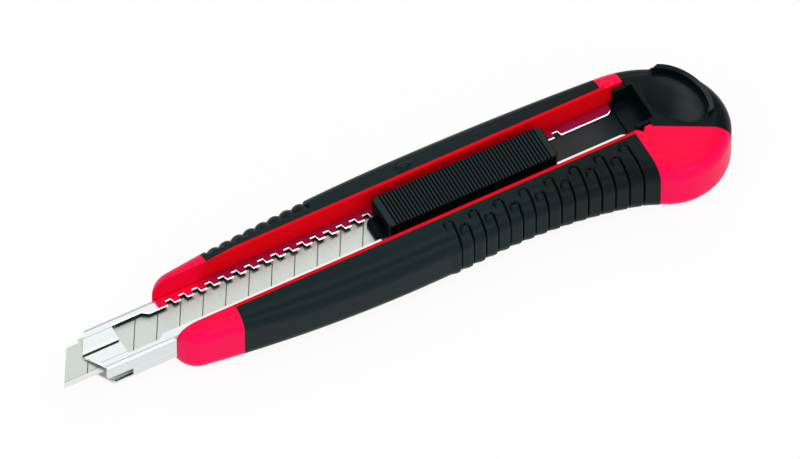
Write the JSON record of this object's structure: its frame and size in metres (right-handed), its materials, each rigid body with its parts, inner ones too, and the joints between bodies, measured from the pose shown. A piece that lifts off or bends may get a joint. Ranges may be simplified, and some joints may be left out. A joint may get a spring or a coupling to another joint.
{
  "type": "snap-off utility knife",
  "caption": "Slim snap-off utility knife: steel rail holding a segmented blade, ribbed thumb slide with a spring lock, soft-sided handle and pull-off end cap.",
  "frame": {"origin": "on the handle's flat back, below the middle of the blade track and near the middle of the handle's length", "axes": "+X from the blade tip towards the end cap, -Y towards the cutting edge, +Z from the flat back up to the thumb slide"},
  "size_m": [0.1437, 0.0307, 0.0145],
  "materials": {
    "body_plastic": "smooth moulded red plastic",
    "grip_rubber": "black soft moulded skin, satin",
    "rail_steel": "bright rolled sheet steel",
    "spring_steel": "plain spring strip",
    "blade_steel": "cross-ground blade steel",
    "black_plastic": "black moulded plastic"
  },
  "bodies": {
    "handle": {"body_shell": "body_plastic", "lower_grip": "grip_rubber", "upper_grip": "grip_rubber", "blade_rail": "rail_steel", "magazine_spring": "spring_steel", "spare_blade_upper": "blade_steel", "spare_blade_lower": "blade_steel"},
    "carriage": {"blade": "blade_steel", "blade_carrier": "black_plastic", "lock_spring": "spring_steel"},
    "slider": {"thumb_slide": "black_plastic"},
    "cap": {"end_cap": "black_plastic"}
  },
  "joints": [
    {"name": "blade_slide", "type": "slide", "parent": "handle", "child": "carriage", "axis": [-1, 0, 0], "range_m": [-0.0201, 0.0431], "deforming": ["lock_spring"]},
    {"name": "slide_release", "type": "slide", "parent": "carriage", "child": "slider", "axis": [-1, 0, 0], "range_m": [0, 0.0012], "stiffness_N_per_m": 400, "deforming": ["lock_spring"]},
    {"name": "cap_pull", "type": "slide", "parent": "handle", "child": "cap", "axis": [1, 0, 0], "range_m": [0, 0.02]}
  ]
}
